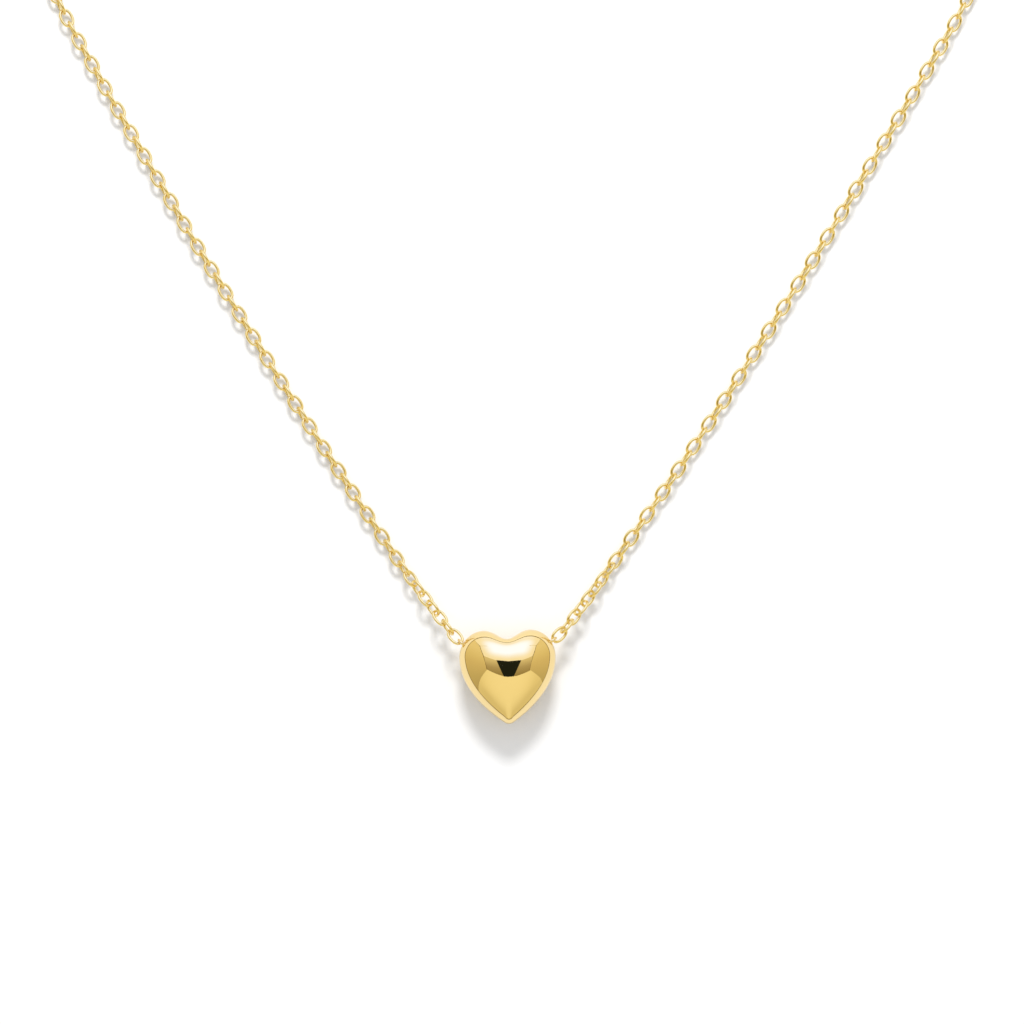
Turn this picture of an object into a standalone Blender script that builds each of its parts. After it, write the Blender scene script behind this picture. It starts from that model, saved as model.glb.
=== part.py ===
"""A fine gold necklace: a hollow puffed heart between two halves of cable chain.

Run with blender --background --python part.py, or from Blender's text editor.
World units are metres, +Z is up and the necklace lies on the plane z = 0. The origin is
under the middle of the heart, +Y runs from the heart towards the clasp. Lengths below
are written in millimetres times MM. The clasp is unhooked, so the two halves are free.
"""

import math

import bmesh
import bpy
from mathutils import Matrix, Vector

MM = 0.001

# The heart: its outline in its own frame, as Bezier curves from the cleft to the tip.
HEART_HALF_OUTLINE = (
    ((0.0, 3.76), (0.60, 3.78), (1.30, 4.64), (2.31, 4.64)),
    ((2.31, 4.64), (3.65, 4.64), (4.80, 3.42), (4.80, 2.00)),
    ((4.80, 2.00), (4.80, -0.85), (2.60, -3.10), (0.45, -4.56)),
    ((0.45, -4.56), (0.33, -4.655), (0.15, -4.70), (0.0, -4.70)),
)
HEART_STEPS = (6, 8, 14, 3)
HEART_CREST_Y = 0.95 * MM
HEART_HALF_THICKNESS = 2.65 * MM
HEART_WALL = 0.25 * MM
HEART_BACK_FLAT_DEPTH = 0.10 * MM
HEART_SEAM_GAP = 0.02 * MM
HEART_TURN = math.radians(1.5)
HEART_RINGS = 11
HEART_ROUNDNESS = 2
HEART_INNER_START = 4
HEART_MIDDLE_HEIGHT = HEART_HALF_THICKNESS - HEART_BACK_FLAT_DEPTH + HEART_SEAM_GAP / 2

# A link of the cable chain: an oval of round wire.
WIRE_RADIUS = 0.145 * MM
LINK_HALF_LENGTH = 0.84 * MM
LINK_HALF_WIDTH = 0.55 * MM
LINK_OVALNESS = 2.3
LINK_STEPS = 20
WIRE_SIDES = 8
CHAIN_RADIUS = LINK_HALF_WIDTH + WIRE_RADIUS
HEADING_REACH = 0.3 * MM

# The loops soldered to the heart's shoulders, which the first links hang on.
LOOP_RADIUS = 0.42 * MM

# How the chain lies: a list of points for each half, chosen by hand, and its pitch. Both
# halves come down from the heart's shoulders to the table and lie on it from there on. The
# first steps from link to link have some slack. Every link leans over a little, by an angle
# that sways along the chain, and the links near the heart are twisted further.
LEFT_ROUTE = (
    (-4.59, 3.35, 2.55), (-5.6, 4.4, 2.2), (-8.1, 7.6, 1.25), (-11.0, 11.6, 0.75),
    (-16.3, 19.6, 0.70), (-21.5, 27.6, 0.70), (-26.5, 35.6, 0.70), (-31.4, 43.6, 0.70),
    (-36.1, 51.6, 0.70), (-40.7, 59.6, 0.70), (-45.0, 67.6, 0.70), (-48.1, 75.5, 0.70),
    (-49.4, 84.5, 0.70), (-49.7, 94.0, 0.70), (-49.7, 104.0, 0.70), (-49.3, 114.0, 0.70),
    (-47.5, 123.0, 0.70), (-42.8, 129.7, 0.70), (-35.5, 133.4, 0.70), (-27.0, 134.2, 0.70),
    (-18.0, 134.2, 0.70), (-8.0, 134.2, 0.70), (2.0, 134.2, 0.70),
)
RIGHT_ROUTE = (
    (4.41, 3.59, 2.55), (5.5, 4.6, 2.2), (7.85, 7.6, 1.25), (10.75, 11.6, 0.75),
    (16.3, 19.6, 0.70), (21.6, 27.6, 0.70), (26.7, 35.6, 0.70), (31.7, 43.6, 0.70),
    (36.5, 51.6, 0.70), (41.3, 59.6, 0.70), (45.8, 67.6, 0.70), (48.9, 75.5, 0.70),
    (50.2, 84.5, 0.70), (50.5, 94.0, 0.70), (50.5, 104.0, 0.70), (50.1, 114.0, 0.70),
    (48.3, 123.0, 0.70), (43.6, 129.7, 0.70), (36.3, 133.4, 0.70), (27.8, 134.2, 0.70),
    (18.8, 134.2, 0.70), (8.8, 134.2, 0.70), (-1.2, 134.2, 0.70),
)
LEFT_PITCH = 1.318 * MM
RIGHT_PITCH = 1.380 * MM
SLACK_STEPS = 8
LEFT_SLACK = 0.081 * MM
RIGHT_SLACK = 0.200 * MM
TWIST = math.radians(24)
TWIST_LENGTH = 12 * MM
LEAN = math.radians(14)
LEAN_SWAY = math.radians(6)
LEAN_WAVE = 2.1

# Each half's links are numbered from the heart, and odd links lie flat. These are the
# last links before a joint, and the half's last link. Each half has a letter for each
# stretch between joints.
LEFT_JOINTS = (1, 28, 58, 94)
RIGHT_JOINTS = (1, 28, 56, 92)
LEFT_LINKS = 132
RIGHT_LINKS = 132
STRETCHES = "abcd"
STRETCH_GAP = 0.10 * MM
TUBE_STEP = 5.0 * MM

# The spring ring clasp, its jump ring and the ring it hooks into, all lying flat. Angles
# round the clasp are in degrees from the way that its half of the chain heads.
RING_HEIGHT = 0.66 * MM
JUMP_RING_RADIUS = 0.95 * MM
JUMP_RING_WIRE = 0.17 * MM
END_RING_RADIUS = 1.60 * MM
END_RING_WIRE = 0.25 * MM
CLASP_RADIUS = 2.35 * MM
CLASP_TUBE = 0.62 * MM
CLASP_BORE = 0.42 * MM
CLASP_HEIGHT = 0.63 * MM
CLASP_MOUTH = (-20, 40)
CLASP_SEAT_DEPTH = 8
CLASP_BORE_END = 228
CLASP_SLOT = (62, 136)
CLASP_SLOT_HALF_WIDTH = 0.20 * MM
SLOT_CUT_DEPTH = 1.5 * CLASP_TUBE
CUTTER_OVERRUN = 2
EYE_SEAT = (150, 210)
BOLT_RADIUS = 0.38 * MM
BOLT_SPAN = (-25, 104)
BOLT_KNOB_ANGLE = 69
BOLT_STEM_RADIUS = 0.16 * MM
BOLT_KNOB_RADIUS = 0.36 * MM
BOLT_STEM_LENGTH = CLASP_TUBE + 0.12 * MM
SPRING_RADIUS = 0.29 * MM
SPRING_WIRE = 0.06 * MM
SPRING_TURNS = 12
SPRING_STEPS_PER_TURN = 10
SPRING_SPAN = (107, 226)
EYE_RADIUS = 0.48 * MM
EYE_WIRE = 0.15 * MM
EYE_INSET = 0.28 * MM
TOUCH_GAP = 0.02 * MM
RING_GAP = 0.05 * MM


def clear_scene():
    for obj in list(bpy.data.objects):
        bpy.data.objects.remove(obj, do_unlink=True)


def gold(name, colour, roughness):
    material = bpy.data.materials.new(name)
    material.use_nodes = True
    shader = material.node_tree.nodes["Principled BSDF"]
    shader.inputs["Base Color"].default_value = (*colour, 1)
    shader.inputs["Roughness"].default_value = roughness
    shader.inputs["Metallic"].default_value = 1
    return material


def joint_empty(name, place):
    """An empty on a joint's axis, which the pieces of the body that it turns hang on."""
    empty = bpy.data.objects.new(name, None)
    empty.empty_display_size = 1 * MM
    empty.location = place
    bpy.context.scene.collection.objects.link(empty)
    return empty


def add(name, data, material, parent, place, turn=None):
    """Links an object that hangs on parent, with its place given in the world."""
    obj = bpy.data.objects.new(name, data)
    bpy.context.scene.collection.objects.link(obj)
    if not data.materials:
        data.materials.append(material)
    obj.parent = parent
    obj.location = Vector(place) - parent.location
    if turn:
        obj.rotation_euler = turn.to_euler()
    return obj


def mesh_from(name, points, faces, sharp_angle=35):
    mesh = bpy.data.meshes.new(name)
    mesh.from_pydata(points, [], faces)
    mesh.shade_smooth()
    mesh.set_sharp_from_angle(angle=math.radians(sharp_angle))
    return mesh


def bezier(curve, t):
    a, b, c, d = (Vector(p) for p in curve)
    u = 1 - t
    return a * u**3 + b * (3 * u * u * t) + c * (3 * u * t * t) + d * t**3


def heart_outline():
    """The heart's outline in its own frame, anticlockwise seen from +Z, from the cleft round."""
    half = []
    for curve, steps in zip(HEART_HALF_OUTLINE, HEART_STEPS, strict=True):
        half += [bezier(curve, n / steps) * MM for n in range(steps)]
    tip = Vector(HEART_HALF_OUTLINE[-1][-1]) * MM
    left = [Vector((-p.x, p.y)) for p in half]
    return left + [tip] + half[:0:-1]


def heart_contour(outline, size, inset):
    """One level line of the puffed face: the outline at size 1, an oval near the crest."""
    crest = Vector((0, HEART_CREST_Y))
    oval = sum((p - crest).length for p in outline) / len(outline)
    blend = size**HEART_ROUNDNESS
    line = []
    for p in outline:
        out = p - crest
        reach = out.length * blend + oval * (1 - blend) - inset
        line.append(crest + out.normalized() * reach * size)
    return line


def heart_shell(name, side, flat_depth):
    """Half of the hollow heart: a bowl with an even wall. side is +1 in front and -1 behind."""
    outline = heart_outline()
    count = len(outline)
    points = []
    rings = []
    for inset, reach, cut in (
        (0, HEART_HALF_THICKNESS, flat_depth),
        (HEART_WALL, HEART_HALF_THICKNESS - HEART_WALL, 0),
    ):
        first = math.acos(1 - cut / reach) if cut else math.radians(HEART_INNER_START)
        surface = []
        for n in range(HEART_RINGS + 1):
            angle = first + (math.pi / 2 - first) * n / HEART_RINGS
            line = heart_contour(outline, math.sin(angle), inset)
            height = side * (reach * math.cos(angle) + HEART_SEAM_GAP / 2)
            surface.append(range(len(points), len(points) + count))
            points += [(p.x, p.y, height) for p in line]
        rings += surface if inset == 0 else surface[::-1]
    faces = [tuple(rings[0]), tuple(rings[-1])[::-1]]
    for upper, lower in zip(rings, rings[1:], strict=False):
        for n in range(count):
            after = (n + 1) % count
            faces.append((upper[n], lower[n], lower[after], upper[after]))
    if side < 0:
        faces = [face[::-1] for face in faces]
    return mesh_from(name, points, faces)


def ring_mesh(name, centreline, wire, sides=WIRE_SIDES):
    """Round wire swept along a closed line in the XY plane, anticlockwise."""
    count = len(centreline)
    points = []
    for n, p in enumerate(centreline):
        along = (centreline[(n + 1) % count] - centreline[n - 1]).normalized()
        out = Vector((along.y, -along.x, 0))
        for k in range(sides):
            angle = math.tau * k / sides
            points.append(p + out * (wire * math.cos(angle)) + Vector((0, 0, wire * math.sin(angle))))
    faces = []
    for n in range(count):
        here, there = n * sides, (n + 1) % count * sides
        for k in range(sides):
            after = (k + 1) % sides
            faces.append((here + k, there + k, there + after, here + after))
    return mesh_from(name, points, faces)


def circle(radius, steps):
    angles = [math.tau * n / steps for n in range(steps)]
    return [Vector((radius * math.cos(a), radius * math.sin(a), 0)) for a in angles]


def link_mesh():
    """An oval link, long along X and flat in the XY plane."""
    line = []
    for n in range(LINK_STEPS):
        c, s = math.cos(math.tau * n / LINK_STEPS), math.sin(math.tau * n / LINK_STEPS)
        x = math.copysign(abs(c) ** (2 / LINK_OVALNESS), c) * LINK_HALF_LENGTH
        y = math.copysign(abs(s) ** (2 / LINK_OVALNESS), s) * LINK_HALF_WIDTH
        line.append(Vector((x, y, 0)))
    return ring_mesh("chain_link", line, WIRE_RADIUS)


def arc_tube(name, radius, wire, span, steps, sides=12):
    """Round rod bent along part of a circle about Z, with flat ends; span is in degrees."""
    first, last = (math.radians(a) for a in span)
    points = []
    for n in range(steps + 1):
        angle = first + (last - first) * n / steps
        out = Vector((math.cos(angle), math.sin(angle), 0))
        for k in range(sides):
            turn = math.tau * k / sides
            across = radius + wire * math.cos(turn)
            points.append(out * across + Vector((0, 0, wire * math.sin(turn))))
    faces = [tuple(range(sides))[::-1], tuple(range(steps * sides, steps * sides + sides))]
    for n in range(steps):
        here, there = n * sides, (n + 1) * sides
        for k in range(sides):
            after = (k + 1) % sides
            faces.append((here + k, here + after, there + after, there + k))
    mesh = mesh_from(name, points, faces)
    made = bmesh.new()
    made.from_mesh(mesh)
    bmesh.ops.recalc_face_normals(made, faces=made.faces)
    made.to_mesh(mesh)
    made.free()
    return mesh


class Course:
    """A smooth curve through a half's points, read by the length run from its start."""

    FINENESS = 24

    def __init__(self, route):
        knots = [Vector(p) * MM for p in route]
        knots = [2 * knots[0] - knots[1]] + knots + [2 * knots[-1] - knots[-2]]
        self.points = []
        for a, b, c, d in zip(knots, knots[1:], knots[2:], knots[3:], strict=False):
            for n in range(self.FINENESS):
                t = n / self.FINENESS
                self.points.append(
                    (b * 2 + (c - a) * t + (a * 2 - b * 5 + c * 4 - d) * t * t
                     + (b * 3 - a - c * 3 + d) * t**3) / 2
                )
        self.points.append(knots[-2])
        self.lengths = [0.0]
        for a, b in zip(self.points, self.points[1:], strict=False):
            self.lengths.append(self.lengths[-1] + (b - a).length)

    def at(self, length):
        for n, reached in enumerate(self.lengths[1:], 1):
            if reached >= length or n == len(self.lengths) - 1:
                before = self.lengths[n - 1]
                share = (length - before) / (reached - before)
                return self.points[n - 1].lerp(self.points[n], share)

    def along(self, length):
        return (self.at(length + HEADING_REACH) - self.at(length - HEADING_REACH)).normalized()

    def frame(self, length, roll):
        """The axes of a link there, as a rotation: X along the chain, Z across the link."""
        x = self.along(length)
        side = Vector((0, 0, 1)).cross(x).normalized()
        up = x.cross(side)
        y = side * math.cos(roll) + up * math.sin(roll)
        return Matrix((x, y, x.cross(y))).transposed()


class Half:
    """One half of the chain: where each of its links is, and the pieces on each body."""

    def __init__(self, name, route, pitch, slack, joints, links):
        self.name = name
        self.course = Course(route)
        self.pitch = pitch
        self.slack = slack
        self.joints = joints
        self.links = links
        # The first link's end wire lies inside the heart's loop, against its outer wire.
        near_end = LOOP_RADIUS - 2 * WIRE_RADIUS - TOUCH_GAP
        self.first = near_end + LINK_HALF_LENGTH

    def length_at(self, link):
        return self.first + (link - 1) * self.pitch - min(link - 1, SLACK_STEPS) * self.slack

    def roll(self, link):
        """How far the link is turned about the chain's own line."""
        twist = TWIST * math.sin(math.pi * min(self.length_at(link) / TWIST_LENGTH, 1))
        lean = LEAN + LEAN_SWAY * math.sin(link * LEAN_WAVE)
        return twist + lean + (0 if link % 2 else math.pi / 2)

    def contact(self, link, upright):
        """Where this link's far end meets the next one: the middle of the upright or lying wire."""
        farther = upright == (link % 2 == 0)
        middle = (self.length_at(link) + self.length_at(link + 1)) / 2
        return self.course.at(middle + (WIRE_RADIUS if farther else -WIRE_RADIUS))

    def add_link(self, link, mesh, material, parent):
        length = self.length_at(link)
        turn = self.course.frame(length, self.roll(link))
        add(f"{self.name}_link_{link:03d}", mesh, material, parent, self.course.at(length), turn)

    def add_stretch(self, letter, after, before, material, parent):
        """The plain tube that stands for the links between two modelled ones."""
        reach = LINK_HALF_LENGTH + WIRE_RADIUS + STRETCH_GAP
        first = self.length_at(after) + reach
        last = self.length_at(before) - reach
        steps = max(2, round((last - first) / TUBE_STEP))
        curve = bpy.data.curves.new(f"{self.name}_chain_{letter}", "CURVE")
        curve.dimensions = "3D"
        curve.bevel_depth = CHAIN_RADIUS
        curve.bevel_resolution = 2
        curve.use_fill_caps = True
        spline = curve.splines.new("POLY")
        spline.points.add(steps)
        for n, point in enumerate(spline.points):
            place = self.course.at(first + (last - first) * n / steps) - parent.location
            point.co = (*place, 1)
        add(f"{self.name}_chain_{letter}", curve, material, parent, parent.location)

    def build(self, mesh, material):
        """Adds the links at each joint and the stretches between them."""
        swing = self.course.at(LOOP_RADIUS)
        first = joint_empty(f"{self.name}_swing_axis", swing)
        self.add_link(1, mesh, material, first)
        ends = self.joints[1:] + (self.links,)
        for letter, start, end in zip(STRETCHES, self.joints, ends, strict=True):
            lifts = start == self.joints[0]
            axis = self.contact(start, upright=not lifts)
            body = joint_empty(f"{self.name}_chain_{letter}_axis", axis)
            self.add_link(start + 1, mesh, material, body)
            self.add_stretch(letter, start + 1, end, material, body)
            self.add_link(end, mesh, material, body)


def build_heart(material):
    """The two shells, the loops on the shoulders, and the empty that they all hang on."""
    heart = joint_empty("heart_middle", (0, 0, HEART_MIDDLE_HEIGHT))
    turn = Matrix.Rotation(HEART_TURN, 3, "Z")
    for name, side, flat in (
        ("heart_front_shell", 1, 0),
        ("heart_back_shell", -1, HEART_BACK_FLAT_DEPTH),
    ):
        add(name, heart_shell(name, side, flat), material, heart, heart.location, turn)
    return heart


def solid_heart_cutter():
    """The heart's outer shape, a little enlarged, to end the loops at its surface."""
    outline = heart_outline()
    count = len(outline)
    points = []
    levels = 2 * HEART_RINGS
    for n in range(1, levels):
        angle = math.pi * n / levels
        line = heart_contour(outline, math.sin(angle), -TOUCH_GAP)
        height = (HEART_HALF_THICKNESS + TOUCH_GAP) * math.cos(angle)
        points += [(p.x, p.y, height) for p in line]
    faces = [tuple(range(count)), tuple(range(len(points) - count, len(points)))[::-1]]
    for level in range(levels - 2):
        for n in range(count):
            after = (n + 1) % count
            upper, lower = level * count, (level + 1) * count
            faces.append((upper + n, lower + n, lower + after, upper + after))
    return mesh_from("heart_cutter", points, faces)


def cut(obj, cutter):
    cutter.hide_render = True
    cutter.display_type = "WIRE"
    modifier = obj.modifiers.new("Cut", "BOOLEAN")
    modifier.operation = "DIFFERENCE"
    modifier.object = cutter


def add_loops(heart, halves, material):
    """The loops that stand upright on the shoulders, each in line with its half of the chain."""
    turn = Matrix.Rotation(HEART_TURN, 3, "Z")
    cutter = add("heart_cutter", solid_heart_cutter(), material, heart, heart.location, turn)
    for half in halves:
        mesh = ring_mesh(f"{half.name}_loop", circle(LOOP_RADIUS, LINK_STEPS), WIRE_RADIUS)
        frame = half.course.frame(LOOP_RADIUS, math.pi / 2)
        loop = add(f"{half.name}_shoulder_loop", mesh, material, heart, half.course.at(0), frame)
        cut(loop, cutter)


def flat_turn(half):
    """The heading of the half's last link, as a rotation about Z."""
    heading = half.course.along(half.length_at(half.links))
    return Matrix.Rotation(math.atan2(heading.y, heading.x), 3, "Z")


def ring_on_last_link(half, name, radius, wire, material):
    """A round ring hooked through the last link. It returns its middle and its heading."""
    turn = flat_turn(half)
    forward = turn @ Vector((1, 0, 0))
    link_end = half.course.at(half.length_at(half.links)) + forward * LINK_HALF_LENGTH
    body = joint_empty(f"{name}_axis", link_end)
    reach = radius - wire - WIRE_RADIUS - RING_GAP
    middle = link_end + forward * reach
    middle.z = RING_HEIGHT
    mesh = ring_mesh(name, circle(radius, 28), wire)
    add(name, mesh, material, body, middle, turn)
    return middle, turn


def knob_cutter_mesh():
    """The slot that the knob's stem slides in, as a curved bar through the tube's outer wall."""
    first, last = (math.radians(a) for a in CLASP_SLOT)
    steps = 12
    points = []
    for n in range(steps + 1):
        angle = first + (last - first) * n / steps
        out = Vector((math.cos(angle), math.sin(angle), 0))
        for across, high in ((0, -1), (1, -1), (1, 1), (0, 1)):
            reach = CLASP_RADIUS + (SLOT_CUT_DEPTH if across else 0)
            points.append(out * reach + Vector((0, 0, high * CLASP_SLOT_HALF_WIDTH)))
    corners = 4
    faces = [(0, 1, 2, 3), tuple(range(steps * corners, (steps + 1) * corners))[::-1]]
    for n in range(steps):
        here, there = n * corners, (n + 1) * corners
        for k in range(corners):
            after = (k + 1) % corners
            faces.append((here + k, there + k, there + after, here + after))
    return mesh_from("slot_cutter", points, faces)


def knob_mesh():
    """A short stem along X that ends in a round knob, turned about X."""
    profile = [(0, BOLT_STEM_RADIUS), (BOLT_STEM_LENGTH, BOLT_STEM_RADIUS)]
    steps = 6
    start = math.asin(BOLT_STEM_RADIUS / BOLT_KNOB_RADIUS)
    middle = BOLT_STEM_LENGTH + BOLT_KNOB_RADIUS * math.cos(start)
    for n in range(1, steps):
        angle = start + (math.pi - start) * n / steps
        profile.append((middle - BOLT_KNOB_RADIUS * math.cos(angle), BOLT_KNOB_RADIUS * math.sin(angle)))
    sides = 12
    points = []
    for along, radius in profile:
        for k in range(sides):
            turn = math.tau * k / sides
            points.append((along, radius * math.cos(turn), radius * math.sin(turn)))
    points.append((middle + BOLT_KNOB_RADIUS, 0, 0))
    last = (len(profile) - 1) * sides
    faces = [tuple(range(sides))[::-1]]
    for n in range(len(profile) - 1):
        here, there = n * sides, (n + 1) * sides
        for k in range(sides):
            after = (k + 1) % sides
            faces.append((here + k, here + after, there + after, there + k))
    for k in range(sides):
        faces.append((last + k, last + (k + 1) % sides, len(points) - 1))
    return mesh_from("clasp_knob", points, faces)


def spring_curve():
    """The helical spring behind the bolt, wound round the bore's bent middle line."""
    curve = bpy.data.curves.new("clasp_spring", "CURVE")
    curve.dimensions = "3D"
    curve.bevel_depth = SPRING_WIRE
    curve.bevel_resolution = 0
    curve.use_fill_caps = True
    steps = SPRING_TURNS * SPRING_STEPS_PER_TURN
    spline = curve.splines.new("POLY")
    spline.points.add(steps)
    first, last = (math.radians(a) for a in SPRING_SPAN)
    for n, point in enumerate(spline.points):
        angle = first + (last - first) * n / steps
        turn = math.tau * SPRING_TURNS * n / steps
        reach = CLASP_RADIUS + SPRING_RADIUS * math.cos(turn)
        point.co = (reach * math.cos(angle), reach * math.sin(angle), SPRING_RADIUS * math.sin(turn), 1)
    return curve


def build_clasp(ring_middle, turn, material, steel):
    """The spring ring: a bent tube, the bolt in its bore, the spring behind it and the eye."""
    forward = turn @ Vector((1, 0, 0))
    eye_offset = CLASP_RADIUS + CLASP_TUBE + EYE_RADIUS + EYE_WIRE - EYE_INSET
    wire_of_ring = ring_middle + forward * JUMP_RING_RADIUS
    eye_middle = wire_of_ring + forward * (EYE_RADIUS - EYE_WIRE - JUMP_RING_WIRE - TOUCH_GAP)
    middle = eye_middle + forward * eye_offset
    middle.z = CLASP_HEIGHT
    body = joint_empty("clasp_axis", wire_of_ring)

    span = (CLASP_MOUTH[1], 360 + CLASP_MOUTH[0])
    tube = arc_tube("clasp_tube", CLASP_RADIUS, CLASP_TUBE, span, 40)
    ring = add("clasp_ring_tube", tube, material, body, middle, turn)
    seat = (span[1] - CLASP_SEAT_DEPTH, span[1] + CUTTER_OVERRUN)
    bore = (span[0] - CUTTER_OVERRUN, CLASP_BORE_END)
    for name, reach in (("seat_cutter", seat), ("bore_cutter", bore)):
        mesh = arc_tube(name, CLASP_RADIUS, CLASP_BORE, reach, 30)
        cut(ring, add(name, mesh, material, body, middle, turn))
    cut(ring, add("slot_cutter", knob_cutter_mesh(), material, body, middle, turn))

    eye = ring_mesh("clasp_eye", circle(EYE_RADIUS, LINK_STEPS), EYE_WIRE)
    upright = turn @ Matrix.Rotation(math.pi / 2, 3, "X")
    eye_place = middle - forward * eye_offset
    eye_piece = add("clasp_eye", eye, material, body, eye_place, upright)
    outside = arc_tube("tube_cutter", CLASP_RADIUS, CLASP_TUBE + TOUCH_GAP, EYE_SEAT, 16, 24)
    cut(eye_piece, add("tube_cutter", outside, material, body, middle, turn))

    trigger = joint_empty("clasp_trigger_axis", middle)
    rod = arc_tube("clasp_bolt", CLASP_RADIUS, BOLT_RADIUS, BOLT_SPAN, 24)
    bolt = add("clasp_bolt", rod, material, trigger, middle, turn)
    around = turn @ Matrix.Rotation(math.radians(BOLT_KNOB_ANGLE), 3, "Z")
    knob_place = middle + around @ Vector((CLASP_RADIUS, 0, 0))
    knob = add("knob_shape", knob_mesh(), material, trigger, knob_place, around)
    knob.hide_render = True
    knob.display_type = "WIRE"
    join = bolt.modifiers.new("Knob", "BOOLEAN")
    join.operation = "UNION"
    join.object = knob
    add("clasp_spring", spring_curve(), steel, body, middle, turn)


def main():
    clear_scene()
    heart_gold = gold("heart_gold", (0.94, 0.72, 0.33), 0.05)
    chain_gold = gold("chain_gold", (0.90, 0.68, 0.32), 0.14)
    clasp_gold = gold("clasp_gold", (0.90, 0.68, 0.32), 0.10)
    spring_steel = gold("spring_steel", (0.60, 0.60, 0.60), 0.30)
    left = Half("left", LEFT_ROUTE, LEFT_PITCH, LEFT_SLACK, LEFT_JOINTS, LEFT_LINKS)
    right = Half("right", RIGHT_ROUTE, RIGHT_PITCH, RIGHT_SLACK, RIGHT_JOINTS, RIGHT_LINKS)
    heart = build_heart(heart_gold)
    add_loops(heart, (left, right), heart_gold)
    link = link_mesh()
    for half in (left, right):
        half.build(link, chain_gold)
    middle, turn = ring_on_last_link(left, "jump_ring", JUMP_RING_RADIUS, JUMP_RING_WIRE, clasp_gold)
    build_clasp(middle, turn, clasp_gold, spring_steel)
    ring_on_last_link(right, "end_ring", END_RING_RADIUS, END_RING_WIRE, clasp_gold)


main()
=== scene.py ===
"""Looks for the gold heart necklace: polished heart, real chain links, clasp, soft studio light."""

import math

import bmesh
import bpy
from mathutils import Matrix, Vector

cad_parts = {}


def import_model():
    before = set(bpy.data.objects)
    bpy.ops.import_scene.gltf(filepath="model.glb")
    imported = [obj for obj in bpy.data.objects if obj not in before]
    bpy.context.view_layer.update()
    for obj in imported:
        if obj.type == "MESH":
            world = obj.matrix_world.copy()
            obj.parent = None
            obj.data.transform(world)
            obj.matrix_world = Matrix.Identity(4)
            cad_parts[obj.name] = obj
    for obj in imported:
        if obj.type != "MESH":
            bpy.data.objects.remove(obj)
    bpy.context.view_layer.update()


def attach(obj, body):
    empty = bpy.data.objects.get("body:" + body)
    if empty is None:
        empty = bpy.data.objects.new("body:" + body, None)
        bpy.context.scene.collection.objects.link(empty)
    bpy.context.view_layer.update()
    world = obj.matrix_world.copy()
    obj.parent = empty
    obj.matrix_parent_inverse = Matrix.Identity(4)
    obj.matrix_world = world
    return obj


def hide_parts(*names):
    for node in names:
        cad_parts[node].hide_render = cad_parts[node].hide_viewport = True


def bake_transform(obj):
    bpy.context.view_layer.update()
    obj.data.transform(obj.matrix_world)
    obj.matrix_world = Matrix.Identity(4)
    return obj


MM = 0.001

# The camera looks straight down at this point of the table and frames this width of it. The
# lens and the sensor set how high it hangs.
CAMERA_LENS = 200
CAMERA_SENSOR = 36
CAMERA_CLIP = (0.05, 20)
VIEW_CENTRE = Vector((0.4, 16.4)) * MM
VIEW_WIDTH = 102.4 * MM

# Edges that bend by more than this stay sharp.
SHARP_ANGLE = math.radians(35)

# The heart: its outline in its own frame, as Bezier curves from the cleft to the tip. Its level
# lines turn from the outline at the seam into a circle round the crest. A surface starts with a
# small facet at the crest, or with the flat that the back rests on.
HEART_HALF_OUTLINE = (
    ((0.0, 3.76), (0.60, 3.78), (1.30, 4.64), (2.31, 4.64)),
    ((2.31, 4.64), (3.65, 4.64), (4.80, 3.42), (4.80, 2.00)),
    ((4.80, 2.00), (4.80, -0.85), (2.60, -3.10), (0.45, -4.56)),
    ((0.45, -4.56), (0.33, -4.655), (0.15, -4.70), (0.0, -4.70)),
)
OUTLINE_FINENESS = 60
OUTLINE_POINTS = 240
HEART_CREST_Y = 0.95 * MM
HEART_HALF_THICKNESS = 2.65 * MM
HEART_WALL = 0.25 * MM
HEART_BACK_FLAT_DEPTH = 0.10 * MM
HEART_SEAM_GAP = 0.01 * MM
HEART_TURN = math.radians(1.5)
HEART_RINGS = 56
HEART_ROUNDNESS = 2
HEART_CREST_ANGLE = math.radians(1)

# A link of the cable chain, an oval of round wire. Its outline is between an ellipse, which
# has an ovalness of 2, and a rectangle.
WIRE_RADIUS = 0.145 * MM
LINK_HALF_LENGTH = 0.84 * MM
LINK_HALF_WIDTH = 0.55 * MM
LINK_OVALNESS = 2.3
LINK_STEPS = 36
WIRE_SIDES = 12
LOOP_RADIUS = 0.42 * MM
TOUCH_GAP = 0.02 * MM
RING_GAP = 0.05 * MM

# The routes that the two halves take from the heart, in millimetres. They repeat the CAD's.
LEFT_ROUTE = (
    (-4.59, 3.35, 2.55), (-5.6, 4.4, 2.2), (-8.1, 7.6, 1.25), (-11.0, 11.6, 0.75),
    (-16.3, 19.6, 0.70), (-21.5, 27.6, 0.70), (-26.5, 35.6, 0.70), (-31.4, 43.6, 0.70),
    (-36.1, 51.6, 0.70), (-40.7, 59.6, 0.70), (-45.0, 67.6, 0.70), (-48.1, 75.5, 0.70),
    (-49.4, 84.5, 0.70), (-49.7, 94.0, 0.70), (-49.7, 104.0, 0.70), (-49.3, 114.0, 0.70),
    (-47.5, 123.0, 0.70), (-42.8, 129.7, 0.70), (-35.5, 133.4, 0.70), (-27.0, 134.2, 0.70),
    (-18.0, 134.2, 0.70), (-8.0, 134.2, 0.70), (2.0, 134.2, 0.70),
)
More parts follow.
